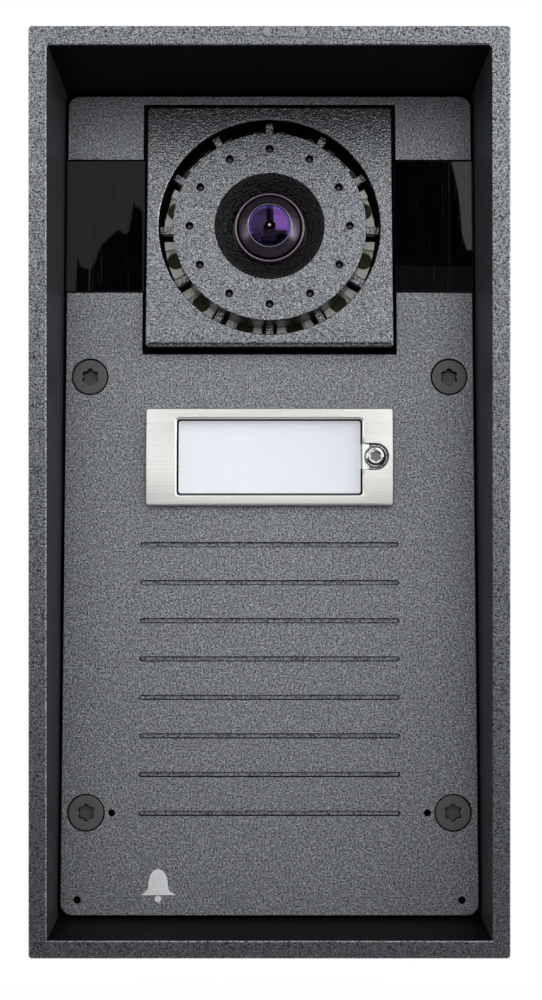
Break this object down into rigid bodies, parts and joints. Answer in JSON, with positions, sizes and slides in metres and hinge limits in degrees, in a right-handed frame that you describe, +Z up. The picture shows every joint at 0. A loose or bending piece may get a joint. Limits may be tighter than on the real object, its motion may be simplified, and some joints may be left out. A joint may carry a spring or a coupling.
{
  "type": "video doorbell",
  "caption": "Wall-mounted video doorbell: rain hood, camera head inside a ring-shaped sound slot, dark infrared windows, and a lit name plate that works as the call button.",
  "frame": {"origin": "centre of the wall-hole pattern on the back face, at the middle of the housing's width and height", "axes": "+Y into the wall, so the front faces -Y; +Z up; +X to the right for a person who looks at the front"},
  "size_m": [0.1122, 0.083, 0.2164],
  "materials": {
    "housing_paint": "fine textured powder coat on die-cast metal",
    "panel_paint": "speckled grey powder coat on die-cast metal",
    "head_paint": "speckled grey powder coat on die-cast metal",
    "black_rubber": "matte moulded rubber",
    "screw_dark": "dark passivated steel",
    "screw_steel": "zinc-plated steel",
    "dark_window": "polished infrared-pass plastic",
    "circuit_board": "solder-masked laminate",
    "led_clear": "clear moulded plastic",
    "pale_plastic": "pale grey moulded plastic",
    "olive_mesh": "tight water-repellent cloth",
    "black_plastic": "glass-filled moulded plastic",
    "basket_paint": "black coated pressed steel",
    "steel": "plain steel sheet",
    "cone_paper": "treated speaker paper",
    "copper": "enamelled wire",
    "amber_cloth": "resin-stiffened cloth",
    "lens_metal": "anodised purple-brown metal",
    "bright_metal": "polished metal",
    "lens_glass": "coated optical glass",
    "sensor": "glass-lidded chip",
    "nickel": "line-brushed nickel plate",
    "clear_window": "clear acrylic",
    "card": "plain pale card",
    "opal": "opal light diffuser",
    "switch_cap": "moulded plunger",
    "capacitor_sleeve": "shrink sleeve",
    "terminal_green": "moulded terminal block",
    "flex_film": "amber flexible circuit"
  },
  "bodies": {
    "station": {"housing": "housing_paint", "cable_grommet": "black_rubber", "panel_gasket": "black_rubber", "front_panel": "panel_paint", "panel_screws": "screw_dark", "ir_window_left": "dark_window", "ir_window_right": "dark_window", "ir_led_boards": "circuit_board", "ir_leds": "led_clear", "ir_board_screws": "screw_steel", "camera_bezel": "head_paint", "bezel_gasket": "black_rubber", "bezel_screws": "screw_steel", "light_pipes": "led_clear", "lamp_board": "circuit_board", "sound_ring": "pale_plastic", "acoustic_membrane": "olive_mesh", "speaker_chamber": "black_plastic", "speaker_basket": "basket_paint", "speaker_magnet": "basket_paint", "speaker_yoke": "steel", "cone_surround": "black_rubber", "spider": "amber_cloth", "speaker_screws": "screw_steel", "lens_barrel": "black_plastic", "lens_cone": "lens_metal", "lens_lip_ring": "lens_metal", "front_lens": "lens_glass", "lens_trim_ring": "bright_metal", "lens_holder": "black_plastic", "lens_seal": "black_rubber", "camera_board": "circuit_board", "image_sensor": "sensor", "camera_screws": "screw_steel", "button_board": "circuit_board", "switch_body": "black_plastic", "return_springs": "screw_steel", "button_leds": "led_clear", "button_bracket": "steel", "bracket_screws": "screw_steel", "main_board": "circuit_board", "processor": "black_plastic", "board_capacitors": "capacitor_sleeve", "network_socket": "steel", "terminal_block": "terminal_green", "board_screws": "screw_steel", "microphones": "steel", "microphone_boots": "black_rubber", "camera_cable": "flex_film"},
    "button": {"button_plate": "nickel", "name_window": "clear_window", "name_card": "card", "window_screw": "nickel", "button_carrier": "black_plastic", "light_diffuser": "opal"},
    "plunger": {"switch_plunger": "switch_cap"},
    "cone": {"speaker_cone": "cone_paper", "voice_coil": "copper", "dust_cap": "cone_paper"}
  },
  "joints": [
    {"name": "button_press", "type": "slide", "parent": "station", "child": "button", "axis": [0, 1, 0], "range_m": [0, 0.0008], "stiffness_N_per_m": 1500, "springref_m": -0.0006, "deforming": ["return_springs"]},
    {"name": "plunger_slide", "type": "slide", "parent": "station", "child": "plunger", "axis": [0, 1, 0], "range_m": [0, 0.0008]},
    {"name": "cone_stroke", "type": "slide", "parent": "station", "child": "cone", "axis": [0, -1, 0], "range_m": [-0.0008, 0.0008], "stiffness_N_per_m": 1800, "deforming": ["cone_surround", "spider"]}
  ],
  "couplings": [
    {"joint": "plunger_slide", "follows": "button_press", "ratio": 1}
  ]
}
